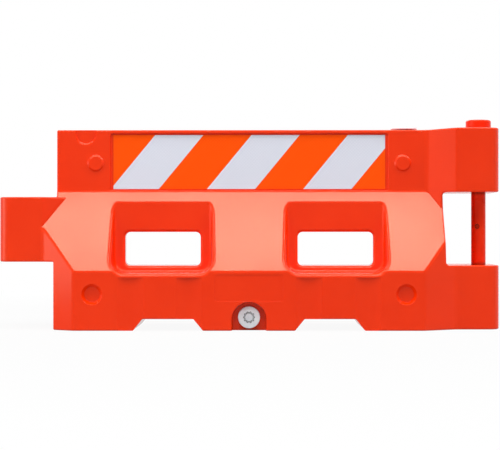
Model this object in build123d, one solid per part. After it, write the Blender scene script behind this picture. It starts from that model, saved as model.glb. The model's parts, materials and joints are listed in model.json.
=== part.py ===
from build123d import *
import os
from math import atan2, cos, hypot, radians, tan

# A water-filled road barrier: a hollow moulded shell with a lug at its left end, two lugs with a
# connecting pin at its right end, a fill cap, a drain plug and striped sheeting on both faces.
# Millimetres. X runs along the barrier, the front faces -Y, and Z = 0 is the ground.

# Body
body_length = 1551.0
body_height = 800.0
base_width = 456.0
wall_width = 156.0
slope_foot = 232.5
slope_head = 554.0
shell_wall = 6.0
edge_radius = 6.0
slope_ridge_radius = 22.0
slope_valley_radius = 25.0
base_overhang_left = 2.0
base_overhang_right = 7.0

# Lugs at the ends: the next barrier's left lug goes into the gap between the two right lugs
lug_reach = 224.5
lug_width = 292.0
lug_corner_radius = 44.0
lug_rise = 5.5
ramp_radius = 1000.0
gap_bottom = 256.0
gap_height = 292.0
lug_clearance_below = 14.0
lug_clearance_above = 19.0
lug_root_radius = 4.0
gap_corner_radius = 14.0

# The base narrows to the lugs' width, and the upper wall widens to it
chamfer_lead = 82.0
chamfer_run = 132.5
chamfer_outer_radius = 30.0
chamfer_inner_radius = 50.0
flare_lead = 61.0
flare_run = 111.5
flare_inner_radius = 50.0
flare_outer_radius = 20.0

# Windows and the pockets round them
window_spacing = 693.5
window_width = 301.0
window_height = 135.5
window_bottom = 253.5
window_flare = 4.0
window_corner_radius = 20.0
window_lip_radius = 13.0
pocket_web = 198.0
pocket_width = 406.5
pocket_bottom = 225.5
pocket_draft = 4.0
pocket_floor_draft = 1.0
pocket_corner_radius = 55.0
pocket_cove_radius = 12.0
pocket_rim_radius = 16.0

# Fork slots, flutes and the bare plate field on the base
slot_spacing = 639.0
slot_ground_width = 276.0
slot_top_width = 201.0
slot_height = 46.0
slot_corner_radius = 8.0
slot_rim_radius = 6.0
flute_inner = 237.0
flute_outer = 467.0
flute_width = 102.0
flute_depth = 8.0
plate_width = 269.0
plate_bottom = 117.0
plate_top = 220.0
plate_depth = 1.5
plate_corner_radius = 8.0
plate_rim_radius = 1.0

# Round bosses on the wall, round dimples on the base, and scoops in the top edge
boss_inset = 156.5
boss_level = 666.0
boss_diameter = 54.0
boss_rise = 6.5
boss_draft = 45.0
boss_edge_radius = 3.0
dimple_level = 143.0
dimple_diameter = 82.0
dimple_depth = 14.0
dimple_draft = 38.0
dimple_rim_radius = 3.0
scoop_inset = 116.5
scoop_radius = 40.0
scoop_bottom = 740.0
scoop_depth = 7.0
scoop_rise = 7.0
scoop_rim_radius = 1.0

# Striped sheeting in a shallow recess
sheet_end_inset = 227.5
sheet_bottom = 562.0
sheet_top = 780.0
sheet_thickness = 1.0
sheet_margin = 6.0
sheet_side_margin = 12.0
sheet_seam = 0.4
recess_depth = 8.0
recess_corner_radius = 8.0
recess_rim_radius = 3.0
stripe_width = 150.0
stripe_lean = 39.5
stripe_shift = 16.5

# Screw closures: radial thread clearance, gasket and the gap either side of it
thread_clearance = 0.3
seat_gap = 0.3
insert_clearance = 0.2
gasket_thickness = 3.0
gasket_inset = 4.0
rim_radius = 3.0
socket_notches = 10
socket_notch_radius = 3.5
socket_depth = 7.0
socket_groove = 5.5
socket_step = 1.0

# Fill port and cap
fill_inset = 145.5
fill_bore = 72.0
fill_insert_wall = 6.0
fill_insert_flange = 9.0
fill_insert_flange_thickness = 5.0
fill_insert_length = 30.0
fill_cap_diameter = 106.0
fill_cap_thickness = 9.5
fill_spigot_length = 24.0
fill_spigot_wall = 5.0
fill_socket_radius = 24.0

# Drain port, plug and alcove
drain_level = 52.0
drain_bore = 52.0
drain_insert_wall = 6.0
drain_insert_flange = 8.0
drain_insert_flange_thickness = 5.0
drain_insert_length = 26.0
drain_plug_diameter = 87.0
drain_plug_thickness = 15.0
drain_spigot_length = 21.0
drain_spigot_wall = 5.0
drain_socket_radius = 20.5
alcove_width = 140.0
alcove_top = 114.0
alcove_depth = 45.0
alcove_draft = 8.0
alcove_rim_radius = 5.0

# Connecting pin
pin_inset = 66.0
pin_diameter = 59.0
pin_tube_wall = 7.0
pin_bore_clearance = 2.0
pin_bore_rim_radius = 2.0
pin_ground_clearance = 20.0
pin_head_diameter = 102.0
pin_head_height = 38.0
pin_head_radius = 8.0
pin_spigot_length = 60.0
pin_spigot_clearance = 0.1
pin_nose_length = 40.0
pin_nose_tip_diameter = 40.0
pin_dimple_diameter = 20.0
pin_dimple_depth = 5.5
pin_dimple_level = 411.0
pin_dimple_turn = -19.0

# Worked-out sizes
body_half = body_length / 2
end_x = body_half + lug_reach
left_base_end = body_half + base_overhang_left
right_base_end = body_half + base_overhang_right
lug_top = body_height + lug_rise
base_half = base_width / 2
wall_half = wall_width / 2
lug_half = lug_width / 2
gap_top = gap_bottom + gap_height
left_lug_bottom = gap_bottom + lug_clearance_below
left_lug_top = gap_top - lug_clearance_above
chamfer_start = body_half - chamfer_lead
chamfer_end = chamfer_start + chamfer_run
chamfer_turn = atan2(base_half - lug_half, chamfer_run)
blend_end = chamfer_end + chamfer_inner_radius * tan(chamfer_turn / 2)
flare_start = body_half - flare_lead
flare_end = flare_start + flare_run
flare_root = flare_start - 2 * flare_inner_radius
window_centre = window_spacing / 2
pocket_back = pocket_web / 2
pocket_taper = tan(radians(pocket_draft))
pocket_climb = tan(radians(pocket_floor_draft))
flute_radius = (flute_width ** 2 / 4 + flute_depth ** 2) / (2 * flute_depth)
boss_x = body_half - boss_inset
scoop_x = body_half - scoop_inset
sheet_half = body_half - sheet_end_inset
sheet_face = wall_half - recess_depth
alcove_back = base_half - alcove_depth
fill_x = body_half - fill_inset
fill_hole_radius = fill_bore / 2 + fill_insert_wall
drain_hole_radius = drain_bore / 2 + drain_insert_wall
pin_x = end_x - pin_inset
pin_radius = pin_diameter / 2
pin_bore_radius = pin_radius + pin_bore_clearance
closure_rise = seat_gap + gasket_thickness + seat_gap
slack = 0.01
overcut = 50.0

FRONT = Plane.XZ
UPRIGHT = (Align.CENTER, Align.CENTER, Align.MIN)
HANGING = (Align.CENTER, Align.CENTER, Align.MAX)
fill_seat = Pos(fill_x, 0, body_height)
drain_seat = FRONT.offset(alcove_back) * Pos(0, drain_level)


def polygon(points):
    """A flat face through corner points."""
    return Sketch() + make_face(Polyline(*points, close=True))


def rounded(sketch, radius, test):
    """A flat face with the corners that pass a test rounded."""
    return fillet([corner for corner in sketch.vertices() if test(corner)], radius)


def shrunk(sketch, inset):
    """A flat face moved in from its outline, or out for a negative inset."""
    return offset(sketch, -inset) if inset else sketch


def near(value, place):
    """Whether two sizes are the same."""
    return abs(value - place) < slack


def at_any(places):
    """A test for corners that lie at any of some places."""
    return lambda corner: any(near(corner.X, x) and near(corner.Y, y) for x, y in places)


def edges_where(solid, test):
    """The edges whose two ends and middle all pass a test."""
    return [edge for edge in solid.edges() if all(test(edge @ share) for share in (0, 0.5, 1))]


def on_both_faces(tool):
    """A front feature and its mirror image on the back."""
    return [tool, mirror(tool, about=FRONT)]


# Outlines of the shell

def body_section():
    """The barrier's cross-section: upright base, slope and upper wall."""
    right = [(base_half, 0), (base_half, slope_foot), (wall_half, slope_head), (wall_half, body_height)]
    left = [(-y, z) for y, z in reversed(right)]
    return rounded(polygon(right + left), slope_valley_radius, lambda v: near(v.Y, slope_head))


def base_plan():
    """The plan of the base, which narrows towards both ends."""
    quarter = [(chamfer_start, base_half), (chamfer_end, lug_half), (end_x, lug_half)]
    right = quarter + [(x, -y) for x, y in reversed(quarter)]
    left = [(-x, -y) for x, y in right]
    plan = polygon(right + left)
    plan = rounded(plan, chamfer_outer_radius, lambda v: near(abs(v.X), chamfer_start))
    return rounded(plan, chamfer_inner_radius, lambda v: near(abs(v.X), chamfer_end))


def lug_plan(side):
    """The plan of one end's lugs and of the wall that widens to meet them."""
    half = [(flare_root, wall_half), (flare_start, wall_half), (flare_end, lug_half), (end_x, lug_half)]
    points = half + [(x, -y) for x, y in reversed(half)]
    plan = polygon([(side * x, y) for x, y in points])
    plan = rounded(plan, flare_inner_radius, lambda v: near(abs(v.X), flare_start))
    plan = rounded(plan, flare_outer_radius, lambda v: near(abs(v.X), flare_end))
    return rounded(plan, lug_corner_radius, lambda v: near(abs(v.X), end_x))


def side_elevation():
    """The outline from the front: one lug on the left, a gap between two lugs on the right."""
    gap = [(right_base_end, gap_bottom), (body_half, gap_top)]
    ramp = [(flare_end, lug_top), (flare_start, body_height)]
    roots = [(-body_half, left_lug_top), (-left_base_end, left_lug_bottom)]
    points = [
        (-left_base_end, 0), (end_x, 0), (end_x, gap_bottom), *gap,
        (end_x, gap_top), (end_x, lug_top), *ramp, (-body_half, body_height),
        roots[0], (-end_x, left_lug_top), (-end_x, left_lug_bottom), roots[1],
    ]
    outline = rounded(polygon(points), gap_corner_radius, at_any(gap))
    outline = rounded(outline, lug_root_radius, at_any(roots))
    return rounded(outline, ramp_radius, at_any(ramp))


def on_slope(point):
    """Whether a point lies on the sloping part of the front or back."""
    climb = (base_half - abs(point.Y)) / (base_half - wall_half)
    return near(point.Z, slope_foot + climb * (slope_head - slope_foot))


def body_form(inset):
    """The shell's outside for no inset, or its cavity for an inset of one wall."""
    prism = extrude(Plane.YZ * shrunk(body_section(), inset), amount=blend_end, both=True)
    core = prism & extrude(shrunk(base_plan(), inset), amount=body_height)
    if not inset:
        ridge = edges_where(core, lambda p: on_slope(p) and abs(p.Y) > lug_half - slack)
        core = fillet(ridge, slope_ridge_radius)
    floor = Pos(0, 0, inset)
    right = floor * extrude(shrunk(lug_plan(1), inset), amount=lug_top - 2 * inset)
    left = floor * extrude(shrunk(lug_plan(-1), inset), amount=left_lug_top - 2 * inset)
    outline = extrude(FRONT * shrunk(side_elevation(), inset), amount=base_width, both=True)
    return (core + right + left) & outline


def off_middle(edge):
    """Whether an edge's middle is off the middle plane, or on a lug's end."""
    middle = edge @ 0.5
    return abs(middle.Y) > slack or near(abs(middle.X), end_x)


def gap_edges(solid):
    """The edges of the gap between the two right lugs."""
    rim = edges_where(
        solid, lambda p: p.X > body_half - slack and gap_bottom - slack < p.Z < gap_top + slack,
    )
    return [edge for edge in rim if off_middle(edge)]


def under_lug_edges(solid):
    """The edges of the base's left end and of the left lug's underside."""
    rim = edges_where(solid, lambda p: p.X < slack - body_half and p.Z < left_lug_bottom + slack)
    return [edge for edge in rim if off_middle(edge) and (edge @ 0.5).Z > slack]


def over_lug_edges(solid):
    """The edges round the left lug's top, outside the slope."""
    climb = (slope_head - left_lug_top) / (slope_head - slope_foot)
    slope_half = wall_half + climb * (base_half - wall_half)
    rim = edges_where(solid, lambda p: p.X < 0 and near(p.Z, left_lug_top))
    return [
        edge for edge in rim
        if abs((edge @ 0.5).Y) > slope_half + slack or near((edge @ 0.5).X, -end_x)
    ]


def wall_end_edges(solid):
    """The upright and sloping edges of the wall's left end, above the lug."""
    rim = edges_where(solid, lambda p: p.X < slack - body_half and p.Z > left_lug_top - slack)
    return [edge for edge in rim if off_middle(edge) and not near((edge @ 0).Z, (edge @ 1).Z)]


def top_edges(solid):
    """The edges round the top of the wall and of the upper right lug."""
    rim = edges_where(solid, lambda p: p.Z > body_height - slack)
    return [edge for edge in rim if off_middle(edge) or near((edge @ 0.5).X, -body_half)]


def bottom_edges(solid):
    """The edges round the underside."""
    return edges_where(solid, lambda p: near(p.Z, 0))


def rounded_body():
    """The shell's outside with its edges rounded, before pockets and cuts."""
    body = body_form(0)
    for find in (gap_edges, under_lug_edges, over_lug_edges, wall_end_edges, top_edges, bottom_edges):
        body = fillet(find(body), edge_radius)
    return body


def eased(before, tools, after, radius):
    """A body after a change, with the edges that the change made in its surface rounded."""
    return fillet(new_edges(before, *tools, combined=after), radius)


# Cuts in the shell: each takes an extra size, so that the cavity keeps one wall clear of it

def pocket_section(x, place, grow):
    """The pocket's outline at a distance from the middle plane."""
    inward = base_half - place
    width = pocket_width - 2 * inward * pocket_taper
    floor = pocket_bottom + inward * pocket_climb
    height = body_height - floor
    corner = pocket_corner_radius - inward * pocket_taper
    field = RectangleRounded(width + 2 * grow, height + 2 * grow, corner + grow)
    return FRONT.offset(place) * Pos(x, floor + height / 2) * field


def pocket_tool(x, grow):
    """A drafted pocket with a coved back, open upwards where the slope falls away."""
    back = pocket_back - grow
    tool = loft([pocket_section(x, place, grow) for place in (back, base_half + overcut)], ruled=True)
    back_edges = edges_where(tool, lambda p: near(p.Y, -back))
    return fillet(back_edges, pocket_cove_radius + grow)


def window_section(x, place, grow):
    """The window's outline at a distance before the middle plane. It widens backwards from the web."""
    width = window_width + 2 * (pocket_back - place) * tan(radians(window_flare))
    field = RectangleRounded(width + 2 * grow, window_height + 2 * grow, window_corner_radius + grow)
    return FRONT.offset(place) * Pos(x, window_bottom + window_height / 2) * field


def window_tool(x, grow):
    """A window right through the web between a front and a back pocket."""
    return loft([window_section(x, place, grow) for place in (base_half, -base_half)], ruled=True)


def slot_tool(x, grow):
    """A fork slot with sloping sides, open to the ground."""
    flank = (slot_ground_width - slot_top_width) / 2 / slot_height
    low_half = slot_ground_width / 2 + flank * overcut
    high_half = slot_top_width / 2
    profile = polygon([
        (x - low_half, -overcut), (x + low_half, -overcut),
        (x + high_half, slot_height), (x - high_half, slot_height),
    ])
    profile = rounded(profile, slot_corner_radius, lambda v: near(v.Y, slot_height))
    return extrude(FRONT * shrunk(profile, -grow), amount=base_width, both=True)


def flute_tool(x, grow):
    """A shallow upright flute in the base, from the ground to just below the pocket's rim."""
    centre = base_half + flute_radius - flute_depth
    cutter = Cylinder(flute_radius + grow, pocket_bottom - pocket_rim_radius + grow, align=UPRIGHT)
    return Pos(x, -centre, 0) * cutter


def dimple_tool(x, grow):
    """A round dimple in the base, with drafted sides."""
    taper = tan(radians(dimple_draft))
    floor_radius = dimple_diameter / 2 - dimple_depth * taper + grow
    height = dimple_depth + grow + overcut
    cone = Cone(floor_radius, floor_radius + height * taper, height, align=UPRIGHT)
    return FRONT.offset(base_half - dimple_depth - grow) * Pos(x, dimple_level) * cone


def recess_tool(grow):
    """The shallow recess that holds the sheeting."""
    length = 2 * (sheet_half + sheet_side_margin + grow)
    height = sheet_top - sheet_bottom + 2 * (sheet_margin + grow)
    field = Pos(0, (sheet_bottom + sheet_top) / 2) * RectangleRounded(length, height, recess_corner_radius)
    return extrude(FRONT.offset(sheet_face - grow) * field, amount=recess_depth + grow + overcut)


def scoop_tool(grow):
    """A shallow round-bottomed scoop in the top edge, with a sloping lip."""
    radius = scoop_radius + grow
    straight = body_height + overcut - scoop_bottom - scoop_radius
    outline = Pos(-scoop_x, scoop_bottom + scoop_radius) * (
        Circle(radius) + Pos(0, straight / 2) * Rectangle(2 * radius, straight)
    )
    depth = scoop_depth + grow
    reach = hypot(scoop_depth, scoop_rise) * depth / scoop_depth
    return extrude(FRONT.offset(wall_half) * outline, amount=reach, dir=(0, scoop_depth, scoop_rise))


def with_rounded_mouth(alcove):
    """An alcove joined to the space before the base, with the edge between the two rounded."""
    mouth = base_half + slack
    before_base = Pos(0, alcove_top) * Rectangle(2 * alcove_width, 2 * (alcove_top + overcut))
    tool = alcove + extrude(FRONT.offset(mouth) * before_base, amount=overcut)
    tool = split(tool, Plane.XY.offset(-edge_radius))
    half = alcove_width / 2 + alcove_rim_radius
    rim = edges_where(
        tool, lambda p: near(p.Y, -mouth) and abs(p.X) < half and p.Z < alcove_top + alcove_rim_radius,
    )
    return fillet(rim, alcove_rim_radius)


def alcove_tool(grow):
    """The arched alcove round the drain plug, open to the ground."""
    radius = alcove_width / 2 - alcove_depth * tan(radians(alcove_draft))
    straight = alcove_top - alcove_width / 2 + overcut
    arch = Pos(0, alcove_top - alcove_width / 2) * (
        Circle(radius + grow) + Pos(0, -straight / 2) * Rectangle(2 * (radius + grow), straight)
    )
    alcove = extrude(
        FRONT.offset(alcove_back - grow) * arch, amount=alcove_depth + overcut, taper=-alcove_draft,
    )
    return alcove if grow else with_rounded_mouth(alcove)


def plate_tool(grow):
    """The bare, shallow field where a plate would go."""
    height = plate_top - plate_bottom
    field = RectangleRounded(plate_width + 2 * grow, height + 2 * grow, plate_corner_radius + grow)
    field = Pos(0, plate_bottom + height / 2) * field
    return extrude(FRONT.offset(base_half - plate_depth - grow) * field, amount=plate_depth + grow + overcut)


def pin_bore_tool(x, grow):
    """An upright pin hole through the lugs of one end."""
    return Pos(x, 0, -overcut) * Cylinder(pin_bore_radius + grow, lug_top + 2 * overcut, align=UPRIGHT)


def cuts(grow):
    """Each kind of cut in the shell: its tools, larger by grow, and the radius to add round its rim."""
    sides = (-1, 1)
    pockets = [pocket_tool(side * window_centre, grow) for side in sides]
    dimples = [dimple_tool(side * boss_x, grow) for side in sides]
    flutes = [
        flute_tool(side * place, grow) for side in sides for place in (flute_inner, flute_outer)
    ]
    return [
        ([slot_tool(side * slot_spacing / 2, grow) for side in sides], slot_rim_radius),
        ([tool for pocket in pockets for tool in on_both_faces(pocket)], pocket_rim_radius),
        ([alcove_tool(grow)], 0),
        ([tool for dimple in dimples for tool in on_both_faces(dimple)], dimple_rim_radius),
        (on_both_faces(plate_tool(grow)), plate_rim_radius),
        (on_both_faces(recess_tool(grow)), recess_rim_radius),
        (on_both_faces(scoop_tool(grow)), scoop_rim_radius),
        ([window_tool(side * window_centre, grow) for side in sides], window_lip_radius),
        ([pin_bore_tool(side * pin_x, grow) for side in sides], pin_bore_rim_radius),
        ([tool for flute in flutes for tool in on_both_faces(flute)], 0),
    ]


def boss(x):
    """A round raised boss with drafted sides, rooted in the upper wall."""
    root = shell_wall / 2
    height = root + boss_rise
    foot_radius = boss_diameter / 2 + height * tan(radians(boss_draft))
    button = Cone(foot_radius, boss_diameter / 2, height, align=UPRIGHT)
    button = fillet(button.edges().group_by(Axis.Z)[-1], boss_edge_radius)
    return FRONT.offset(wall_half - root) * Pos(x, boss_level) * button


def barrier_shell():
    """The hollow moulded shell, with its two port holes."""
    body = rounded_body()
    bosses = [button for side in (-1, 1) for button in on_both_faces(boss(side * boss_x))]
    body = eased(body, bosses, body + bosses, boss_edge_radius)
    for tools, rim_radius in cuts(0):
        cut = body - tools
        body = eased(body, tools, cut, rim_radius) if rim_radius else cut
    cavity = body_form(shell_wall)
    for tools, _ in cuts(shell_wall):
        cavity = cavity - tools
    shell = body - cavity
    fill_hole = fill_seat * Cylinder(fill_hole_radius, 2 * (shell_wall + overcut))
    drain_hole = drain_seat * Cylinder(drain_hole_radius, 2 * (shell_wall + slack))
    return shell - fill_hole - drain_hole


# Screw closures, built upright on their seat at Z = 0 with the tank below

def ring(outer_radius, inner_radius, height, align):
    """A plain ring."""
    return Cylinder(outer_radius, height, align=align) - Cylinder(inner_radius, height, align=align)


def port_insert(bore, wall, flange, flange_thickness, length):
    """A moulded-in threaded sleeve with a flange under the shell's wall."""
    sleeve_radius = bore / 2 + wall - insert_clearance
    sleeve = ring(sleeve_radius, bore / 2, length, HANGING)
    collar = ring(bore / 2 + wall + flange, bore / 2, flange_thickness, HANGING)
    return sleeve + Pos(0, 0, -shell_wall) * collar


def gasket(bore, diameter):
    """A flat rubber ring between a closure's flange and its seat."""
    return Pos(0, 0, seat_gap) * ring(diameter / 2 - gasket_inset, bore / 2, gasket_thickness, UPRIGHT)


def closure(bore, diameter, thickness, spigot_length, spigot_wall, socket_radius):
    """A screw closure: rounded flange with a notched ring for a key, and a hollow spigot."""
    flange = Cylinder(diameter / 2, thickness, align=UPRIGHT)
    flange = fillet(flange.edges().filter_by(GeomType.CIRCLE), rim_radius)
    socket = Cylinder(socket_radius, socket_depth, align=HANGING)
    for notch in range(socket_notches):
        tooth = Cylinder(socket_notch_radius, socket_depth, align=HANGING)
        socket += Rot(0, 0, 360 * notch / socket_notches) * Pos(socket_radius, 0, 0) * tooth
    socket -= Pos(0, 0, -socket_step) * Cylinder(socket_radius - socket_groove, socket_depth, align=HANGING)
    flange = flange - Pos(0, 0, thickness) * socket
    spigot_radius = bore / 2 - thread_clearance
    spigot = ring(spigot_radius, spigot_radius - spigot_wall, closure_rise + spigot_length, UPRIGHT)
    return Pos(0, 0, closure_rise) * (flange + Pos(0, 0, -closure_rise - spigot_length) * spigot)


# Connecting pin

def pin_tube():
    """The pin's tube, from its nose up to its head, with a small round dimple in front."""
    foot = pin_ground_clearance + pin_nose_length
    tube = ring(pin_radius, pin_radius - pin_tube_wall, lug_top + seat_gap - foot, UPRIGHT)
    drill = Cylinder(pin_dimple_diameter / 2, pin_dimple_depth + overcut, align=UPRIGHT)
    drill = Rot(0, 0, pin_dimple_turn) * (FRONT.offset(pin_radius - pin_dimple_depth) * drill)
    return Pos(pin_x, 0, foot) * tube - Pos(pin_x, 0, pin_dimple_level) * drill


def pin_spigot():
    """The plug that holds a pin's end piece in its tube."""
    return Cylinder(pin_radius - pin_tube_wall - pin_spigot_clearance, pin_spigot_length, align=UPRIGHT)


def pin_head():
    """The round knob that the pin is lifted by, with its spigot in the tube."""
    knob = Cylinder(pin_head_diameter / 2, pin_head_height, align=UPRIGHT)
    knob = fillet(knob.edges().group_by(Axis.Z)[-1], pin_head_radius)
    spigot = Pos(0, 0, -pin_spigot_length) * pin_spigot()
    return Pos(pin_x, 0, lug_top + seat_gap) * (knob + spigot)


def pin_nose():
    """The tapered nose that finds the holes, with its spigot in the tube."""
    taper = Cone(pin_nose_tip_diameter / 2, pin_radius, pin_nose_length, align=UPRIGHT)
    return Pos(pin_x, 0, pin_ground_clearance) * (taper + Pos(0, 0, pin_nose_length) * pin_spigot())


# Sheeting

def stripes():
    """The slanting stripes of the front sheeting, left to right, as flat faces."""
    lean = tan(radians(stripe_lean))
    pitch = stripe_width / cos(radians(stripe_lean))
    middle = (sheet_bottom + sheet_top) / 2
    field = Pos(0, middle) * Rectangle(2 * sheet_half, sheet_top - sheet_bottom)
    half = (pitch - sheet_seam) / 2
    drift = lean * (sheet_top - sheet_bottom) / 2
    count = int((sheet_half + drift + abs(stripe_shift)) / pitch + 0.5)
    faces = []
    for place in range(-count, count + 1):
        x = stripe_shift + place * pitch
        band = polygon([
            (x - drift - half, sheet_bottom), (x - drift + half, sheet_bottom),
            (x + drift + half, sheet_top), (x + drift - half, sheet_top),
        ])
        cut = band & field
        if cut:
            faces.append((place % 2 == 0, cut))
    return faces


def sheeting(parts):
    """Add each stripe of both faces to the parts, white in the middle and orange beside it."""
    counts = {True: 0, False: 0}
    for white, face in stripes():
        counts[white] += 1
        strip = extrude(FRONT.offset(sheet_face) * face, amount=sheet_thickness)
        name = f"{'white' if white else 'orange'}_stripe_{counts[white]}"
        for side, solid in zip(("front", "rear"), on_both_faces(strip)):
            parts[f"{side}_{name}"] = solid


def build_parts():
    """Every piece of the barrier, by its node's name."""
    parts = {"barrier_shell": barrier_shell()}
    parts["fill_port_insert"] = fill_seat * port_insert(
        fill_bore, fill_insert_wall, fill_insert_flange, fill_insert_flange_thickness, fill_insert_length,
    )
    parts["fill_cap_gasket"] = fill_seat * gasket(fill_bore, fill_cap_diameter)
    parts["fill_cap"] = fill_seat * closure(
        fill_bore, fill_cap_diameter, fill_cap_thickness,
        fill_spigot_length, fill_spigot_wall, fill_socket_radius,
    )
    parts["drain_port_insert"] = drain_seat * port_insert(
        drain_bore, drain_insert_wall, drain_insert_flange,
        drain_insert_flange_thickness, drain_insert_length,
    )
    parts["drain_plug_gasket"] = drain_seat * gasket(drain_bore, drain_plug_diameter)
    parts["drain_plug"] = drain_seat * closure(
        drain_bore, drain_plug_diameter, drain_plug_thickness,
        drain_spigot_length, drain_spigot_wall, drain_socket_radius,
    )
    parts["pin_tube"] = pin_tube()
    parts["pin_head"] = pin_head()
    parts["pin_nose"] = pin_nose()
    sheeting(parts)
    return parts


os.makedirs("parts", exist_ok=True)
for node, shape in build_parts().items():
    export_step(shape, f"parts/{node}.step")
    print(node, len(shape.solids()), round(shape.volume))
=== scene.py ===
"""Looks of the plastic safety barrier: its finishes, its screw closures, its mould lines and a studio.

The barrier's own frame has +X towards the end with the pin, the front face towards -Y, +Z up, and the
ground at Z = 0. The studio's lengths are in metres. The pieces' own sizes are in millimetres, as the
solids' are, until their points are turned into metres for a mesh.
"""

import json
import logging
from dataclasses import dataclass
from enum import Enum

import bmesh
import bpy
import numpy as np
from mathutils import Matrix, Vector

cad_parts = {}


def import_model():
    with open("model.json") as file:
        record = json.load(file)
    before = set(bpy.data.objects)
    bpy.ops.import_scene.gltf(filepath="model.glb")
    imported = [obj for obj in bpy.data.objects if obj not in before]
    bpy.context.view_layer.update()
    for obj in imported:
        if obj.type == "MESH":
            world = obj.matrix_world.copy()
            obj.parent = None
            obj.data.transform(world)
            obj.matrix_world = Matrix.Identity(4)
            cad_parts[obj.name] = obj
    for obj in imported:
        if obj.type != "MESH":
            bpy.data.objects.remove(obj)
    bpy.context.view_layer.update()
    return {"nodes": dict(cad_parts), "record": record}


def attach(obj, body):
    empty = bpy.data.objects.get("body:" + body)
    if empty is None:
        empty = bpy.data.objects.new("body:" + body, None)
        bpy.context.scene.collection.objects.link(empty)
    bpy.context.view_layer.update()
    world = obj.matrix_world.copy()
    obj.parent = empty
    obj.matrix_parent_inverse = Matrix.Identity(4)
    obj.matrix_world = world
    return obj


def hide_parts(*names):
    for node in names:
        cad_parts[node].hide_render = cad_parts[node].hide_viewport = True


LOG = logging.getLogger("barrier")
# A millimetre in metres.
MM = 0.001
# The gap in millimetres under which two points are one.
MERGE_GAP = 0.001
# The points on the arc of a rounded corner.
ARC_STEPS = 6
# The level of the wall's top and the fill port's place along the barrier, in millimetres.
WALL_TOP = 800.0
FILL_PORT_X = 630.0
# The octaves of noise in a moulding's patches of tone, in its waves and in its skin.
PATCH_DETAIL, WAVE_DETAIL, SKIN_DETAIL = 4.0, 1.0, 2.0
# A mix node's colour sockets share their names with its other sockets, so they go by number.
MIX_SHARE, MIX_FIRST, MIX_SECOND, MIX_COLOUR = 0, 6, 7, 2


class Body(Enum):
    """The bodies of the frame that the new pieces ride on."""

    BARRIER = "barrier"
    FILL_CAP = "fill_cap"
    DRAIN_PLUG = "drain_plug"


class Slot(Enum):
    """The record's material slots."""

    SHELL = "shell_plastic"
    PIN = "pin_plastic"
    CAP = "cap_plastic"
    INSERT = "insert_plastic"
    GASKET = "gasket_rubber"
    WHITE = "white_sheeting"
    ORANGE = "orange_sheeting"


def linear(colour: str) -> tuple[float, float, float, float]:
    """Turn an sRGB hex colour into linear light, by the sRGB curve: a power law over a short straight toe.

    Args:
        colour: Six hex digits after a hash sign.

    Returns:
        Red, green, blue and a full alpha.
    """
    channels = np.array([int(colour[start:start + 2], 16) for start in (1, 3, 5)]) / 255
    curve = ((channels + 0.055) / 1.055) ** 2.4
    return (*np.where(channels <= 0.04045, channels / 12.92, curve).tolist(), 1.0)


def add_node(
    tree: bpy.types.NodeTree, kind: str, inputs: dict[str | int, object] | None = None, **settings: object,
) -> bpy.types.Node:
    """Add a node to a tree, set its options and feed its inputs.

    Args:
        tree: The tree that gets the node.
        kind: The node's type.
        inputs: A socket to link from, or a value to set, for each input by name or number.
        settings: The node's own options.

    Returns:
        The new node.
    """
    node = tree.nodes.new(kind)
    for name, value in settings.items():
        setattr(node, name, value)
    for key, value in (inputs or {}).items():
        if isinstance(value, bpy.types.NodeSocket):
            tree.links.new(value, node.inputs[key])
        else:
            node.inputs[key].default_value = value
    return node


def blank_material(name: str) -> bpy.types.Material:
    """Make a material whose node tree is still empty.

    Args:
        name: What the material is and how its surface was made.

    Returns:
        The material.
    """
    material = bpy.data.materials.new(name)
    material.use_nodes = True
    material.node_tree.nodes.clear()
    return material


def per_metre(millimetres: float) -> float:
    """The texture scale whose features are some millimetres wide."""
    return 1 / (millimetres * MM)


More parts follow.
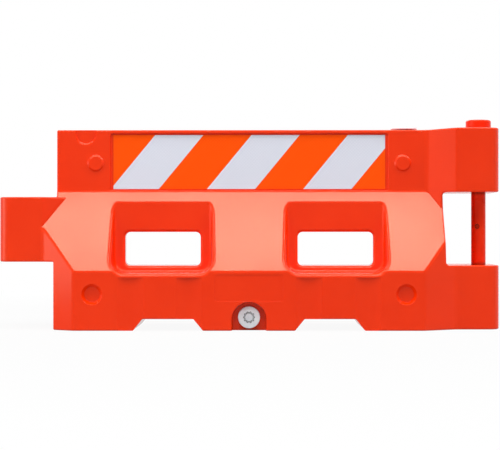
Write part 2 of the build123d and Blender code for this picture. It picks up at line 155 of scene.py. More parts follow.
@dataclass(frozen=True)
class MouldedPlastic:
    """A plastic or rubber moulding: pigmented through, a little uneven in tone, with a fine skin.

    Attributes:
        name: What the material is and how its surface was made.
        colour: Its colour.
        shade: The colour that its uneven patches lean to.
        patch_mm: How wide the patches are.
        roughness: Its middle roughness.
        roughness_swing: How far the roughness goes either way.
        skin_mm: How wide the pimples of its skin are.
        skin_depth_mm: How high they are.
        wave_mm: How long the slow waves in its wall are.
        wave_depth_mm: How high those are.
        specular: The level of its reflection, 0.5 being that of its IOR.
        tint: The colour of its reflection seen square on.
        ior: Its index of refraction.
        tone_range: The levels of the patches' noise that give the pure colour and the pure shade.
        gloss_range: The levels of the same noise that give the least and the most roughness.
        painted_shade: The dark colour painted into its recesses as shade, if it gets any.
        recess_mm: How far off the walls stand that make a recess.
        painted_shade_range: The shares of open room in front of a point that leave it fully painted with
            shade and free of it.
        painted_shade_samples: How many directions are tried to find that share.
    """

    name: str
    colour: str
    shade: str
    patch_mm: float
    roughness: float
    roughness_swing: float
    skin_mm: float
    skin_depth_mm: float
    wave_mm: float
    wave_depth_mm: float
    specular: float = 0.5
    tint: str = "#FFFFFF"
    ior: float = 1.5
    tone_range: tuple[float, float] = (0.35, 0.65)
    gloss_range: tuple[float, float] = (0.3, 0.7)
    painted_shade: str | None = None
    recess_mm: float = 6.0
    painted_shade_range: tuple[float, float] = (0.4, 0.85)
    painted_shade_samples: int = 8

    def material(self) -> bpy.types.Material:
        """Make the node material.

        Returns:
            The material, with mottled colour, uneven gloss and two layers of relief.
        """
        material = blank_material(self.name)
        tree = material.node_tree
        place = add_node(tree, "ShaderNodeTexCoord").outputs["Object"]
        patches = add_node(
            tree, "ShaderNodeTexNoise",
            {"Vector": place, "Scale": per_metre(self.patch_mm), "Detail": PATCH_DETAIL},
        ).outputs["Fac"]
        gloss = add_node(
            tree, "ShaderNodeMapRange",
            {
                "Value": patches, "From Min": self.gloss_range[0], "From Max": self.gloss_range[1],
                "To Min": self.roughness - self.roughness_swing,
                "To Max": self.roughness + self.roughness_swing,
            },
        ).outputs["Result"]
        shader = add_node(
            tree, "ShaderNodeBsdfPrincipled",
            {
                "Base Color": self.mottled(tree, patches), "Roughness": gloss, "IOR": self.ior,
                "Specular IOR Level": self.specular, "Specular Tint": linear(self.tint),
                "Normal": self.relief(tree, place),
            },
        )
        add_node(tree, "ShaderNodeOutputMaterial", {"Surface": shader.outputs["BSDF"]})
        return material

    def mottled(self, tree: bpy.types.NodeTree, patches: bpy.types.NodeSocket) -> bpy.types.NodeSocket:
        """Mix the colour and its shade over the patches, and paint a darker colour into the recesses as
        shade.

        Args:
            tree: The material's tree.
            patches: The patches' noise.

        Returns:
            The colour.
        """
        tone = add_node(
            tree, "ShaderNodeMapRange",
            {"Value": patches, "From Min": self.tone_range[0], "From Max": self.tone_range[1]},
        ).outputs["Result"]
        colour = add_node(
            tree, "ShaderNodeMix",
            {MIX_SHARE: tone, MIX_FIRST: linear(self.colour), MIX_SECOND: linear(self.shade)},
            data_type="RGBA",
        ).outputs[MIX_COLOUR]
        # Shade is painted into the recesses only where the finish gives a colour for it.
        return self.paint_recess_shade(tree, colour) if self.painted_shade else colour

    def paint_recess_shade(self, tree: bpy.types.NodeTree, colour: bpy.types.NodeSocket) -> bpy.types.NodeSocket:
        """Paint shade: darken the colour where near walls shut a point in, as ambient occlusion finds.

        Args:
            tree: The material's tree.
            colour: The colour before the painted shade.

        Returns:
            The colour with the painted shade.
        """
        # Painted shade: the ambient occlusion of a recess darkens the colour, standing in for the shade
        # there.
        room = add_node(
            tree, "ShaderNodeAmbientOcclusion", {"Distance": self.recess_mm * MM}, samples=self.painted_shade_samples,
        ).outputs["AO"]
        share = add_node(
            tree, "ShaderNodeMapRange",
            {
                "Value": room, "From Min": self.painted_shade_range[0], "From Max": self.painted_shade_range[1],
                "To Min": 1.0, "To Max": 0.0,
            },
        ).outputs["Result"]
        return add_node(
            tree, "ShaderNodeMix",
            {MIX_SHARE: share, MIX_FIRST: colour, MIX_SECOND: linear(self.painted_shade)},
            data_type="RGBA",
        ).outputs[MIX_COLOUR]

    def relief(self, tree: bpy.types.NodeTree, place: bpy.types.NodeSocket) -> bpy.types.NodeSocket:
        """Lay the pimples of the skin over the slow waves of the wall.

        Args:
            tree: The material's tree.
            place: The point of the surface.

        Returns:
            The normal.
        """
        waves = add_node(
            tree, "ShaderNodeTexNoise",
            {"Vector": place, "Scale": per_metre(self.wave_mm), "Detail": WAVE_DETAIL},
        ).outputs["Fac"]
        skin = add_node(
            tree, "ShaderNodeTexNoise",
            {"Vector": place, "Scale": per_metre(self.skin_mm), "Detail": SKIN_DETAIL},
        ).outputs["Fac"]
        wavy = add_node(
            tree, "ShaderNodeBump", {"Height": waves, "Distance": self.wave_depth_mm * MM, "Strength": 1.0},
        ).outputs["Normal"]
        return add_node(
            tree, "ShaderNodeBump",
            {"Height": skin, "Distance": self.skin_depth_mm * MM, "Strength": 1.0, "Normal": wavy},
        ).outputs["Normal"]


@dataclass(frozen=True)
class PrismaticSheeting:
    """Retroreflective film: a clear face over fine prisms, sealed along a lattice of thin lines.

    Attributes:
        name: What the material is.
        colour: Its colour between the seal lines.
        seal: The colour of the seal lines.
        cell_mm: The spacing of the lattice.
        line_mm: The width of a line, drawn wider than the real 0.3 mm so that it shows.
        line_edges: The shares of a line's width from its middle at which it starts to fade and is gone.
        turn: How the lattice is laid in the film's plane and turned there, to stand on its points.
        roughness: The roughness of its face.
        relief_mm: How deep the lines lie.
        specular: The level of its reflection.
        ior: The index of refraction of its face.
    """

    name: str
    colour: str
    seal: str
    cell_mm: float = 9.0
    line_mm: float = 0.8
    line_edges: tuple[float, float] = (0.25, 0.75)
    turn: tuple[float, float, float] = (np.pi / 2, 0.0, np.pi / 4)
    roughness: float = 0.32
    relief_mm: float = 0.05
    specular: float = 0.3
    ior: float = 1.5

    def material(self) -> bpy.types.Material:
        """Make the node material.

        Returns:
            The material, with its lattice of seal lines a little sunk.
        """
        material = blank_material(self.name)
        tree = material.node_tree
        place = add_node(tree, "ShaderNodeTexCoord").outputs["Object"]
        turned = add_node(
            tree, "ShaderNodeMapping", {"Vector": place, "Rotation": self.turn},
        ).outputs["Vector"]
        edge = add_node(
            tree, "ShaderNodeTexVoronoi",
            {"Vector": turned, "Scale": per_metre(self.cell_mm), "Randomness": 0.0},
            voronoi_dimensions="2D", feature="DISTANCE_TO_EDGE",
        ).outputs["Distance"]
        full, clear = (share * self.line_mm / self.cell_mm for share in self.line_edges)
        line = add_node(
            tree, "ShaderNodeMapRange",
            {"Value": edge, "From Min": full, "From Max": clear, "To Min": 1.0, "To Max": 0.0},
        ).outputs["Result"]
        colour = add_node(
            tree, "ShaderNodeMix",
            {MIX_SHARE: line, MIX_FIRST: linear(self.colour), MIX_SECOND: linear(self.seal)},
            data_type="RGBA",
        ).outputs[MIX_COLOUR]
        relief = add_node(
            tree, "ShaderNodeBump",
            {"Height": line, "Distance": self.relief_mm * MM, "Strength": 1.0}, invert=True,
        ).outputs["Normal"]
        shader = add_node(
            tree, "ShaderNodeBsdfPrincipled",
            {
                "Base Color": colour, "Roughness": self.roughness, "Normal": relief,
                "IOR": self.ior, "Specular IOR Level": self.specular,
            },
        )
        add_node(tree, "ShaderNodeOutputMaterial", {"Surface": shader.outputs["BSDF"]})
        return material


# Rotomoulded polyethylene takes the mould's fine skin: a semi-gloss surface with slow waves in the wall.
SHELL_FINISH = MouldedPlastic(
    "rotomoulded_polyethylene_orange_red", colour="#EE3202", shade="#EA2F01", patch_mm=220.0,
    roughness=0.15, roughness_swing=0.02, skin_mm=3.0, skin_depth_mm=0.012, wave_mm=70.0, wave_depth_mm=0.06,
    specular=0.26, tint="#FFF2D4",
)
# Blow-moulded polyethylene comes off a polished mould, so it is even and bright; its dimple gets painted
# shade, a dark red laid in by ambient occlusion.
PIN_FINISH = MouldedPlastic(
    "blow_moulded_polyethylene_red", colour="#EE2E08", shade="#E82A06", patch_mm=60.0,
    roughness=0.3, roughness_swing=0.04, skin_mm=2.5, skin_depth_mm=0.015, wave_mm=40.0, wave_depth_mm=0.05,
    specular=0.2, tint="#FFF6CE", painted_shade="#6A0C02", recess_mm=20.0,
)
# Injection-moulded polypropylene has a waxy, even, pale grey face; its recesses get painted shade, a dark
# grey laid in by ambient occlusion.
CAP_FINISH = MouldedPlastic(
    "injection_moulded_polypropylene_grey", colour="#E6F0F4", shade="#DEE8EE", patch_mm=30.0,
    roughness=0.36, roughness_swing=0.05, skin_mm=0.8, skin_depth_mm=0.01, wave_mm=12.0, wave_depth_mm=0.02,
    specular=0.4, painted_shade="#5C5A58",
)
# Black injection-moulded polyethylene is dull and looks slightly greasy.
INSERT_FINISH = MouldedPlastic(
    "injection_moulded_polyethylene_black", colour="#26262A", shade="#1E1E21", patch_mm=30.0,
    roughness=0.45, roughness_swing=0.05, skin_mm=0.8, skin_depth_mm=0.01, wave_mm=12.0, wave_depth_mm=0.02,
    specular=0.4,
)
# Moulded rubber has a matt bloom that swallows highlights.
GASKET_FINISH = MouldedPlastic(
    "moulded_epdm_rubber_black", colour="#202022", shade="#2A2A2C", patch_mm=8.0,
    roughness=0.75, roughness_swing=0.08, skin_mm=0.6, skin_depth_mm=0.02, wave_mm=6.0, wave_depth_mm=0.02,
    specular=0.3,
)
# Prismatic film is an even, clear colour from a step away, and a fine lattice from close by.
WHITE_FINISH = PrismaticSheeting("prismatic_film_white", colour="#D4D9E5", seal="#E0E5EE")
ORANGE_FINISH = PrismaticSheeting("prismatic_film_orange", colour="#FF5000", seal="#FF6010", specular=0.12)

FINISHES = {
    Slot.SHELL: SHELL_FINISH, Slot.PIN: PIN_FINISH, Slot.CAP: CAP_FINISH, Slot.INSERT: INSERT_FINISH,
    Slot.GASKET: GASKET_FINISH, Slot.WHITE: WHITE_FINISH, Slot.ORANGE: ORANGE_FINISH,
}


@dataclass
class Solids:
    """The barrier's solids, which keep their shape and get their finish.

    Attributes:
        nodes: The solids' objects by node.
        slots: The material slot of each node.
    """

    nodes: dict[str, bpy.types.Object]
    slots: dict[str, str]

    def dress(self, materials: dict[str, bpy.types.Material]) -> None:
        """Give each solid the finish of its slot.

        Args:
            materials: The materials by slot.
        """
        for name, node in self.nodes.items():
            node.data.materials.clear()
            node.data.materials.append(materials[self.slots[name]])
            LOG.info("dressed %s with %s", name, node.data.materials[0].name)


def grid_object(name: str, points: np.ndarray) -> bpy.types.Object:
    """Make a smooth mesh object over a grid of points, with one quad between each four neighbours.

    Args:
        name: The object's name.
        points: The points in metres, as rows by columns by three coordinates.

    Returns:
        The object, with doubled points merged and its faces outwards, linked to the scene.
    """
    rows, columns = points.shape[:2]
    index = np.arange(rows * columns).reshape(rows, columns)
    quads = np.stack([index[:-1, :-1], index[:-1, 1:], index[1:, 1:], index[1:, :-1]], axis=-1)
    mesh = bpy.data.meshes.new(name)
    mesh.from_pydata(points.reshape(-1, 3).tolist(), [], quads.reshape(-1, 4).tolist())
    surface = bmesh.new()
    surface.from_mesh(mesh)
    bmesh.ops.remove_doubles(surface, verts=surface.verts, dist=MERGE_GAP * MM)
    bmesh.ops.recalc_face_normals(surface, faces=surface.faces)
    surface.to_mesh(mesh)
    surface.free()
    mesh.shade_smooth()
    piece = bpy.data.objects.new(name, mesh)
    bpy.context.scene.collection.objects.link(piece)
    LOG.info("piece %s, %d faces", name, len(mesh.polygons))
    return piece


def rounded_path(corners: list[tuple[float, float, float]], step: float) -> np.ndarray:
    """Points along straight runs that arcs join.

    An arc starts and ends at its radius times the tangent of half the turn from its corner. A point on it
    is that start, plus the radius times the sine of the angle along the first run, plus the radius times
    one less the cosine of the angle towards the arc's centre.

    Args:
        corners: Two coordinates and a radius for each corner. The first and the last are the path's ends.
        step: The longest gap between the points.

    Returns:
        The points as rows of two coordinates.
    """
    table = np.array(corners)
    places, radii = table[:, :2], table[1:-1, 2]
    runs = np.diff(places, axis=0)
    runs = runs / np.linalg.norm(runs, axis=1, keepdims=True)
    into, out = runs[:-1], runs[1:]
    turn = np.arctan2(into[:, 0] * out[:, 1] - into[:, 1] * out[:, 0], np.sum(into * out, axis=1))
    starts = places[1:-1] - (radii * np.tan(np.abs(turn) / 2))[:, None] * into
    inwards = np.sign(turn)[:, None] * np.stack([-into[:, 1], into[:, 0]], axis=1)
    angle = np.linspace(0, 1, ARC_STEPS)[None, :, None] * np.abs(turn)[:, None, None]
    bend = np.sin(angle) * into[:, None, :] + (1 - np.cos(angle)) * inwards[:, None, :]
    arcs = starts[:, None, :] + radii[:, None, None] * bend
    path = np.concatenate([places[:1], arcs.reshape(-1, 2), places[-1:]])
    length = np.concatenate([[0], np.cumsum(np.linalg.norm(np.diff(path, axis=0), axis=1))])
    stations = np.union1d(length, np.arange(0, length[-1], step))
    stations = stations[np.diff(stations, prepend=-1) > MERGE_GAP]
    return np.stack([np.interp(stations, length, path[:, axis]) for axis in (0, 1)], axis=1)


@dataclass(frozen=True)
class Port:
    """A threaded port in the shell, in millimetres.

    Attributes:
        mouth: The middle of its mouth.
        across: One direction across it.
        up: The other, such that across crossed with up points out of the shell.
        bore: The bore of its sleeve.
        pitch: The height of one turn of its thread.
        groove_depth: The depth of the thread.
        flank_gain: How steep the thread's flanks are, as the gain on its cosine before that is clipped.
    """

    mouth: tuple[float, float, float]
    across: tuple[float, float, float]
    up: tuple[float, float, float]
    bore: float
    pitch: float
    groove_depth: float = 1.2
    flank_gain: float = 1.1

    def turned(
        self, name: str, radius: np.ndarray, angle: np.ndarray, height: np.ndarray,
    ) -> bpy.types.Object:
        """Make a piece whose surface goes round the port's axis.

        A point is the mouth's middle, plus the radius times the cosine of the angle across, plus the radius
        times its sine up, plus the height along the axis out of the shell.

        Args:
            name: The piece's name.
            radius: The radius at each row and column.
            angle: The angle of each column.
            height: The height of each row above the mouth.

        Returns:
            The piece.
        """
        across, up = np.array(self.across), np.array(self.up)
        points = (
            np.array(self.mouth)
            + (radius * np.cos(angle))[..., None] * across
            + (radius * np.sin(angle))[..., None] * up
            + (height + 0 * angle)[..., None] * np.cross(across, up)
        )
        return grid_object(name, points * MM)

    def groove(self, angle: np.ndarray, height: np.ndarray, low: float, high: float) -> np.ndarray:
        """How deep the thread is cut, between two heights.

        The groove climbs one pitch a turn, right-handed. Across it the depth is a cosine with its crests
        and roots clipped flat, and it fades out over half a pitch at either end.

        Args:
            angle: The angle of each column.
            height: The height of each row.
            low: Where the thread starts.
            high: Where it ends.

        Returns:
            The depth at each row and column.
        """
        wave = np.cos(2 * np.pi * height / self.pitch - angle)
        flat = np.clip(0.5 + self.flank_gain * wave, 0, 1)
        fade = np.clip(np.minimum(height - low, high - height) / (self.pitch / 2), 0, 1)
        return self.groove_depth * flat * fade


@dataclass
class PortInsert:
    """The threaded sleeve moulded into a port, with a collar that holds it under the shell's wall.

    Attributes:
        node: The solid that it stands for.
        port: Its port.
        collar: How far the collar stands out of the sleeve.
        length: The sleeve's length.
        wall: The sleeve's wall.
        play: The room round the sleeve.
        shell_wall: The wall of the shell above the collar.
        collar_thickness: The collar's thickness.
        edge_radius: How round its edges are.
        step: The spacing of its rows.
        columns: How many columns it has.
    """

    node: str
    port: Port
    collar: float
    length: float
    wall: float = 6.0
    play: float = 0.2
    shell_wall: float = 6.0
    collar_thickness: float = 5.0
    edge_radius: float = 0.5
    step: float = 0.9
    columns: int = 180

    def build(self, materials: dict[str, bpy.types.Material]) -> bpy.types.Object:
        """Make the sleeve: its closed outline is carried round the axis, and the thread cut into its bore.

        Args:
            materials: The materials by slot.

        Returns:
            The sleeve, on the barrier.
        """
        bore = self.port.bore / 2
        sleeve = bore + self.wall - self.play
        collar = bore + self.wall + self.collar
        over = -self.shell_wall
        under = over - self.collar_thickness
        foot = -self.length
        edge = self.edge_radius
        path = rounded_path(
            [
                (bore, foot / 2, 0), (bore, foot, edge), (sleeve, foot, edge), (sleeve, under, edge),
                (collar, under, edge), (collar, over, edge), (sleeve, over, edge), (sleeve, 0, edge),
                (bore, 0, edge), (bore, foot / 2, 0),
            ],
            self.step,
        )
        radius, height = path[:, :1], path[:, 1:]
        angle = np.linspace(0, 2 * np.pi, self.columns + 1)[None, :]
        thread = np.where(np.isclose(radius, bore), self.port.groove(angle, height, foot, 0), 0)
        insert = self.port.turned(self.node + "_threaded", radius + thread, angle, height)
        insert.data.materials.append(materials[Slot.INSERT.value])
        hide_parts(self.node)
        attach(insert, Body.BARRIER.value)
        return insert


@dataclass
class ScrewClosure:
    """A screw closure: a rounded flange with a notched ring for a key, over a hollow threaded spigot.

    Attributes:
        node: The solid that it stands for.
        body: The body that it moves with.
        port: The port that it closes.
        diameter: The flange's diameter.
        thickness: The flange's thickness.
        spigot_length: How far the spigot goes into the port.
        socket_radius: The outer radius of the key ring between its notches.
        rise: How far the flange stands off the mouth, over its gasket.
        play: The room round the spigot.
        spigot_wall: The spigot's wall.
        socket_depth: The ring's depth.
        socket_groove: The ring's width.
        socket_step: How far the island in the ring lies below the face.
        notches: How many notches the ring has.
        notch_radius: Their radius, about points on the ring's outer wall.
        rim_radius: How round the flange's rims are.
        edge_radius: How round its other edges are.
        step: The spacing of its rows.
        columns: How many columns it has.
    """

    node: str
    body: Body
    port: Port
    diameter: float
    thickness: float
    spigot_length: float
    socket_radius: float
    rise: float = 3.6
    play: float = 0.3
    spigot_wall: float = 5.0
    socket_depth: float = 7.0
    socket_groove: float = 5.5
    socket_step: float = 1.0
    notches: int = 10
    notch_radius: float = 3.5
    rim_radius: float = 3.0
    edge_radius: float = 0.6
    step: float = 0.9
    columns: int = 240

    def notch(self, angle: np.ndarray) -> np.ndarray:
        """How far the ring's outer wall steps out at each angle.

        The wall follows the farther crossing of a line from the axis with the notch's circle: the socket's
        radius times the cosine of the angle from the notch, plus the root of the notch's radius squared
        less the square of the socket's radius times the sine.

        Args:
            angle: The angle of each column.

        Returns:
            The step, zero between the notches.
        """
        pitch = 2 * np.pi / self.notches
        off = (angle + pitch / 2) % pitch - pitch / 2
        room = self.notch_radius ** 2 - (self.socket_radius * np.sin(off)) ** 2
        reach = self.socket_radius * np.cos(off) + np.sqrt(np.maximum(room, 0))
        return np.where(room > 0, np.maximum(reach - self.socket_radius, 0), 0)

    def build(self, materials: dict[str, bpy.types.Material]) -> bpy.types.Object:
        """Make the closure: its outline, from the axis to the axis, is carried round it.

        The notches push the ring's floor and outer wall outwards, by a share that grows from nothing at the
        island to the whole at that wall, and the push fades over the flange's face. The thread is cut into
        the spigot.

        Args:
            materials: The materials by slot.

        Returns:
            The closure, on its body.
        """
        top = self.rise + self.thickness
        floor = top - self.socket_depth
        island = self.socket_radius - self.socket_groove
        rim = self.diameter / 2
        spigot = self.port.bore / 2 - self.play
        hollow = spigot - self.spigot_wall
        foot = -self.spigot_length
        edge = self.edge_radius
        path = rounded_path(
            [
                (0, top - self.socket_step, 0), (island, top - self.socket_step, edge), (island, floor, edge),
                (self.socket_radius, floor, edge), (self.socket_radius, top, edge),
                (rim, top, self.rim_radius), (rim, self.rise, self.rim_radius), (spigot, self.rise, edge),
                (spigot, foot, edge), (hollow, foot, edge), (hollow, self.rise, edge), (0, self.rise, 0),
            ],
            self.step,
        )
        radius, height = path[:, :1], path[:, 1:]
        angle = np.linspace(0, 2 * np.pi, self.columns + 1)[None, :]
        inside = np.clip((radius - island) / self.socket_groove, 0, 1)
        fade = np.clip((rim - self.rim_radius - radius) / (rim - self.rim_radius - self.socket_radius), 0, 1)
        push = np.where(height > floor - edge, inside * fade, 0) * self.notch(angle)
        thread = np.where(np.isclose(radius, spigot), self.port.groove(angle, height, foot, 0), 0)
        closure = self.port.turned(self.node + "_threaded", radius + push - thread, angle, height)
        closure.data.materials.append(materials[Slot.CAP.value])
        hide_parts(self.node)
        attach(closure, self.body.value)
        return closure


@dataclass
class MouldLine:
    """The low bead that the mould's parting leaves round the shell, in its middle plane, in millimetres.

    Attributes:
        width: The bead's width.
        rise: How far it stands proud.
        taper: The length over which it dies away at either end of a run.
        step: The spacing of the points along it.
        columns: How many points go round it.
        end: Where the lugs end.
        wall_end: Where the upper wall ends.
        left_base_end: Where the base ends at the left.
        right_base_end: Where it ends in the gap at the right.
        top: The wall's top.
        lug_top: The upper right lug's top.
        ramp: Where the climb to that lug starts and ends.
        left_lug: The left lug's underside and top.
        gap: The gap's floor and ceiling.
        pin: The pin's place along the barrier.
        pin_hole: The radius of the pin's hole with its rim.
        pin_head: The radius kept clear of the pin's head.
        fill_port: The fill port's place.
        fill_cap: The radius kept clear of its cap.
        foot: The height at which the bead ends above the ground.
        edge: How round the shell's edges are.
        root: How round the left lug's roots are.
        gap_corner: How round the gap's corners are.
        ramp_radius: How round the ramp's two bends are.
    """

    width: float = 2.4
    rise: float = 0.6
    taper: float = 5.0
    step: float = 8.0
    columns: int = 12
    end: float = 1000.0
    wall_end: float = 775.5
    left_base_end: float = 777.5
    right_base_end: float = 782.5
    top: float = WALL_TOP
    lug_top: float = 805.5
    ramp: tuple[float, float] = (714.5, 826.0)
    left_lug: tuple[float, float] = (270.0, 529.0)
    gap: tuple[float, float] = (256.0, 548.0)
    pin: float = 934.0
    pin_hole: float = 33.5
    pin_head: float = 54.0
    fill_port: float = FILL_PORT_X
    fill_cap: float = 56.0
    foot: float = 12.0
    edge: float = 6.0
    root: float = 4.0
    gap_corner: float = 14.0
    ramp_radius: float = 1000.0

    def runs(self) -> dict[str, list[tuple[float, float, float]]]:
        """The runs of the bead between the holes, the pin's head and the cap.

        Returns:
            The corners of each run: X, Z and radius.
        """
        inner, outer = self.pin - self.pin_hole, self.pin + self.pin_hole
        lug_low, lug_high = self.left_lug
        gap_low, gap_high = self.gap
        climb, landing = self.ramp
        return {
            "top_and_left_end": [
                (self.fill_port - self.fill_cap, self.top, 0), (-self.wall_end, self.top, self.edge),
                (-self.wall_end, lug_high, self.root), (-inner, lug_high, 0),
            ],
            "left_lug": [
                (-outer, lug_high, 0), (-self.end, lug_high, self.edge), (-self.end, lug_low, self.edge),
                (-outer, lug_low, 0),
            ],
            "left_base": [
                (-inner, lug_low, 0), (-self.left_base_end, lug_low, self.root),
                (-self.left_base_end, self.foot, 0),
            ],
            "ramp": [
                (self.fill_port + self.fill_cap, self.top, 0), (climb, self.top, self.ramp_radius),
                (landing, self.lug_top, self.ramp_radius), (self.pin - self.pin_head, self.lug_top, 0),
            ],
            "upper_lug": [
                (self.pin + self.pin_head, self.lug_top, 0), (self.end, self.lug_top, self.edge),
                (self.end, gap_high, self.edge), (outer, gap_high, 0),
            ],
            "gap": [
                (inner, gap_high, 0), (self.wall_end, gap_high, self.gap_corner),
                (self.right_base_end, gap_low, self.gap_corner), (inner, gap_low, 0),
            ],
            "lower_lug": [
                (outer, gap_low, 0), (self.end, gap_low, self.edge), (self.end, self.foot, 0),
            ],
        }

    def build(self, materials: dict[str, bpy.types.Material]) -> list[bpy.types.Object]:
        """Make the beads: an ellipse, half of it in the shell, carried along each run, with tapered ends.

        A point is the run's point, plus the rise times the cosine of an angle along the run's normal, plus
        half the width times its sine along Y, both times the taper, which is the root of the share of the
        taper's length that lies behind.

        Args:
            materials: The materials by slot.

        Returns:
            The beads, on the barrier.
        """
        angle = np.linspace(0, 2 * np.pi, self.columns + 1)[None, :]
        beads = []
        for name, corners in self.runs().items():
            path = rounded_path(corners, self.step)
            tangent = np.gradient(path, axis=0)
            tangent /= np.linalg.norm(tangent, axis=1, keepdims=True)
            along = np.cumsum(np.linalg.norm(np.diff(path, axis=0, prepend=path[:1]), axis=1))
            size = np.sqrt(np.clip(np.minimum(along, along[-1] - along) / self.taper, 0, 1))[:, None]
            out = self.rise * size * np.cos(angle)
            x = path[:, :1] - tangent[:, 1:] * out
            z = path[:, 1:] + tangent[:, :1] * out
            y = self.width / 2 * size * np.sin(angle)
            bead = grid_object("mould_line_" + name, np.stack([x, y, z], axis=-1) * MM)
            bead.data.materials.append(materials[Slot.SHELL.value])
            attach(bead, Body.BARRIER.value)
            beads.append(bead)
        return beads


@dataclass(frozen=True)
class Softbox:
    """A soft rectangular lamp that faces a point, in metres.

    Attributes:
        name: The lamp's name.
        place: Its middle.
        width: Its width.
        height: Its height.
        radiance: How bright its face is, 1 being paper white.
        target: The point that it faces, the middle of the front slope if no other is given.
    """

    name: str
    place: tuple[float, float, float]
    width: float
    height: float
    radiance: float
    target: tuple[float, float, float] = (0.0, -0.15, 0.4)

    def build(self) -> bpy.types.Object:
        """Make the lamp. Its power is pi times its area times its radiance.

        Returns:
            The lamp's object.
        """
        data = bpy.data.lights.new(self.name, "AREA")
        data.shape = "RECTANGLE"
        data.size = self.width
        data.size_y = self.height
        data.energy = np.pi * self.width * self.height * self.radiance
        lamp = bpy.data.objects.new(self.name, data)
        lamp.location = self.place
        aim = Vector(self.target) - Vector(self.place)
        lamp.rotation_euler = aim.to_track_quat("-Z", "Y").to_euler()
        lamp.visible_camera = False
        bpy.context.scene.collection.objects.link(lamp)
        return lamp


def seen_rays(tree: bpy.types.NodeTree) -> bpy.types.NodeSocket:
    """Tell the rays that see the background, straight, in a gloss or through glass, from those that light.

    Args:
        tree: The tree that gets the nodes.

    Returns:
        One for the rays that see, and zero for the rest.
    """
    path = add_node(tree, "ShaderNodeLightPath")
    seen = path.outputs["Is Camera Ray"]
    for ray in ("Is Glossy Ray", "Is Transmission Ray"):
        seen = add_node(
            tree, "ShaderNodeMath", {0: seen, 1: path.outputs[ray]}, operation="MAXIMUM",
        ).outputs["Value"]
    return seen


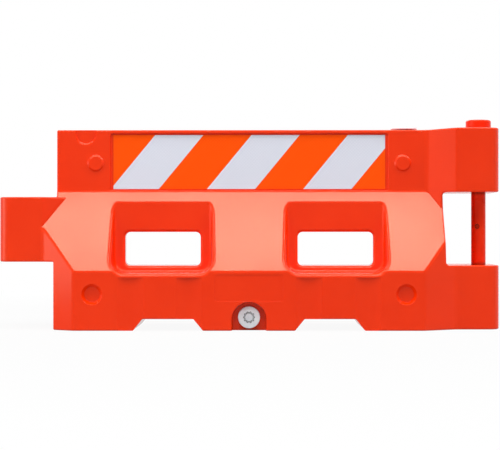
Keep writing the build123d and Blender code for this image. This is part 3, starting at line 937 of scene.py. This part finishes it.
@dataclass
class Studio:
    """A pale floor, soft lamps, a white surround and the camera of the photograph, in metres and degrees.

    Attributes:
        floor_radius: The floor's radius.
        floor_rings: How many rings of points it has, its middle among them.
        floor_spokes: How many points a ring has.
        floor_colour: Its colour under the lamps.
        floor_near: How far from the middle it starts to turn all white.
        floor_far: How far out it is all white.
        floor_glow: The share of white that is seen within that.
        ambient: The strength of the surround's own light.
        eye: The camera's place.
        yaw: How far it is turned to the left.
        pitch: How far it looks up.
        roll: How far it leans to the right.
        focal_pixels: Its focal length in the photograph's pixels.
        image_width: The photograph's width in pixels.
        sensor: Its sensor's width in millimetres.
    """

    floor_radius: float = 4.5
    floor_rings: int = 12
    floor_spokes: int = 96
    floor_colour: str = "#B8B8B8"
    floor_near: float = 1.3
    floor_far: float = 3.6
    floor_glow: float = 0.93
    ambient: float = 0.08
    eye: tuple[float, float, float] = (0.040, -6.1, 0.400)
    yaw: float = 0.35
    pitch: float = 0.16
    roll: float = 0.016
    focal_pixels: float = 1494.0
    image_width: float = 500.0
    sensor: float = 36.0

    def build(self) -> None:
        """Set the scene up around the barrier."""
        self.floor()
        self.surround()
        for lamp in self.lamps():
            lamp.build()
            LOG.info("lamp %s", lamp.name)
        self.camera()
        bpy.context.scene.view_settings.view_transform = "Standard"

    def lamps(self) -> list[Softbox]:
        """The lamps: one for the slope to mirror, panels before, over and behind, and others at the sides.

        Returns:
            The lamps, still to be built.
        """
        return [
            Softbox("slope_softbox", (-0.3, -9.2, 11.1), width=6.8, height=1.6, radiance=18.6),
            Softbox("front_panel", (0.0, -5.9, 8.8), width=7.5, height=3.0, radiance=0.9),
            Softbox("overhead_panel", (0.0, -1.4, 6.8), width=8.5, height=3.0, radiance=5.2),
            Softbox("upper_left_softbox", (-7.0, -2.7, 7.1), width=3.0, height=3.0, radiance=8.4),
            Softbox("upper_right_softbox", (7.0, -2.4, 7.1), width=3.0, height=3.0, radiance=13.6),
            Softbox("left_panel", (-4.6, -2.6, 1.6), width=4.0, height=2.5, radiance=0.8),
            Softbox("low_left_softbox", (-5.2, -1.4, 0.7), width=2.6, height=2.4, radiance=2.6),
            Softbox("rear_panel", (0.0, 6.0, 3.6), width=7.0, height=3.0, radiance=2.2),
        ]

    def floor(self) -> bpy.types.Object:
        """Make the floor, a disc that keeps the barrier's shadow and fades into the surround.

        A point is a ring's radius times the cosine and sine of an angle, for rings out to the rim.

        Returns:
            The floor's object.
        """
        radius, angle = np.meshgrid(
            np.linspace(0, self.floor_radius, self.floor_rings),
            np.linspace(0, 2 * np.pi, self.floor_spokes + 1),
        )
        points = np.stack([radius * np.cos(angle), radius * np.sin(angle), 0 * radius], axis=-1)
        floor = grid_object("floor", points)
        floor.data.materials.append(self.floor_material())
        return floor

    def floor_material(self) -> bpy.types.Material:
        """Make the floor's material: matt under the lamps, with the surround's white mixed in where seen.

        Returns:
            The material.
        """
        material = blank_material("matt_white_floor")
        tree = material.node_tree
        place = add_node(tree, "ShaderNodeTexCoord").outputs["Object"]
        distance = add_node(tree, "ShaderNodeVectorMath", {0: place}, operation="LENGTH").outputs["Value"]
        fade = add_node(
            tree, "ShaderNodeMapRange",
            {
                "Value": distance, "From Min": self.floor_near, "From Max": self.floor_far,
                "To Min": self.floor_glow, "To Max": 1.0,
            },
            interpolation_type="SMOOTHSTEP",
        ).outputs["Result"]
        share = add_node(tree, "ShaderNodeMath", {0: fade, 1: seen_rays(tree)}, operation="MULTIPLY")
        matt = add_node(tree, "ShaderNodeBsdfDiffuse", {"Color": linear(self.floor_colour)})
        white = add_node(tree, "ShaderNodeEmission", {"Strength": 1.0})
        mixed = add_node(
            tree, "ShaderNodeMixShader",
            {0: share.outputs["Value"], 1: matt.outputs["BSDF"], 2: white.outputs["Emission"]},
        )
        add_node(tree, "ShaderNodeOutputMaterial", {"Surface": mixed.outputs["Shader"]})
        return material

    def surround(self) -> None:
        """Make the world white where it is seen, and a dim even light elsewhere."""
        world = bpy.data.worlds.new("white_surround")
        world.use_nodes = True
        tree = world.node_tree
        tree.nodes.clear()
        strength = add_node(
            tree, "ShaderNodeMapRange", {"Value": seen_rays(tree), "To Min": self.ambient, "To Max": 1.0},
        ).outputs["Result"]
        light = add_node(tree, "ShaderNodeBackground", {"Strength": strength, "Color": linear("#FFFFFF")})
        add_node(tree, "ShaderNodeOutputWorld", {"Surface": light.outputs["Background"]})
        bpy.context.scene.world = world

    def camera(self) -> bpy.types.Object:
        """Make the camera, at the photograph's eye and angle.

        Returns:
            The camera's object.
        """
        data = bpy.data.cameras.new("photo_camera")
        data.sensor_width = self.sensor
        data.lens = self.focal_pixels / self.image_width * self.sensor
        camera = bpy.data.objects.new("photo_camera", data)
        camera.location = self.eye
        camera.rotation_euler = np.radians([90 + self.pitch, self.roll, self.yaw])
        bpy.context.scene.collection.objects.link(camera)
        bpy.context.scene.camera = camera
        return camera


def main() -> None:
    """Load the frame, dress the solids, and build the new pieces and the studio."""
    logging.basicConfig(level=logging.INFO)
    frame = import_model()
    materials = {slot.value: finish.material() for slot, finish in FINISHES.items()}
    slots = {row["node"]: row["material_slot"] for row in frame["record"]["subparts"]}
    Solids(frame["nodes"], slots).dress(materials)
    fill = Port(
        mouth=(FILL_PORT_X, 0.0, WALL_TOP), across=(1.0, 0.0, 0.0), up=(0.0, 1.0, 0.0), bore=72.0, pitch=6.0,
    )
    drain = Port(
        mouth=(0.0, -183.0, 52.0), across=(1.0, 0.0, 0.0), up=(0.0, 0.0, 1.0), bore=52.0, pitch=5.0,
    )
    PortInsert("fill_port_insert", fill, collar=9.0, length=30.0).build(materials)
    PortInsert("drain_port_insert", drain, collar=8.0, length=26.0).build(materials)
    ScrewClosure(
        "fill_cap", Body.FILL_CAP, fill, diameter=106.0, thickness=9.5, spigot_length=24.0,
        socket_radius=24.0,
    ).build(materials)
    ScrewClosure(
        "drain_plug", Body.DRAIN_PLUG, drain, diameter=87.0, thickness=15.0, spigot_length=21.0,
        socket_radius=20.5,
    ).build(materials)
    MouldLine().build(materials)
    Studio().build()


if __name__ == "__main__":
    main()
